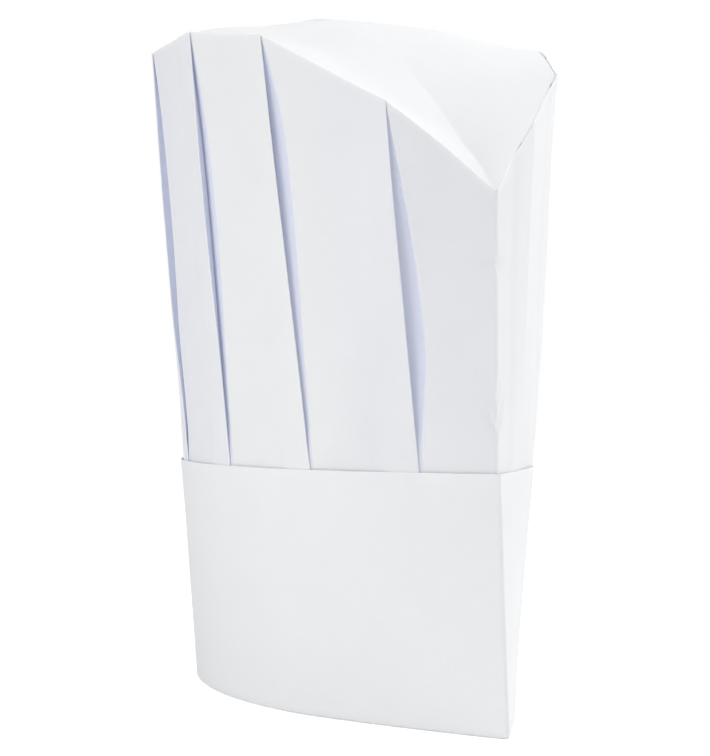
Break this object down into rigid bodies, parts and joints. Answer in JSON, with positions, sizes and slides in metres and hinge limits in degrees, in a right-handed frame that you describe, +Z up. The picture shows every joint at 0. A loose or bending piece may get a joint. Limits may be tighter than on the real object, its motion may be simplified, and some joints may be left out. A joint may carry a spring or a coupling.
{
  "type": "pleated paper chef hat",
  "caption": "Tall pleated paper chef's hat: one-way knife pleats, sharp front and rear corners, a gusseted closed top and a deep plain band.",
  "frame": {"origin": "centre of the hat's foot, on the surface it stands on", "axes": "+Z up, -Y towards the front corner above the wearer's forehead, +X towards the wearer's left"},
  "size_m": [0.1731, 0.2612, 0.2955],
  "materials": {
    "band_paper": "matt smooth white paper",
    "crown_paper": "matt smooth white paper",
    "top_paper": "matt smooth white paper",
    "sweatband_pad": "soft white non-woven",
    "glue": "dried hot-melt glue, satin"
  },
  "bodies": {
    "root": {"headband": "band_paper", "crown_wall": "crown_paper", "top_panel": "top_paper", "sweatband": "sweatband_pad", "crown_outer_glue": "glue", "crown_lining_glue": "glue", "top_glue": "glue", "crown_seam_glue": "glue", "band_seam_glue": "glue", "sweatband_glue": "glue"}
  },
  "joints": []
}
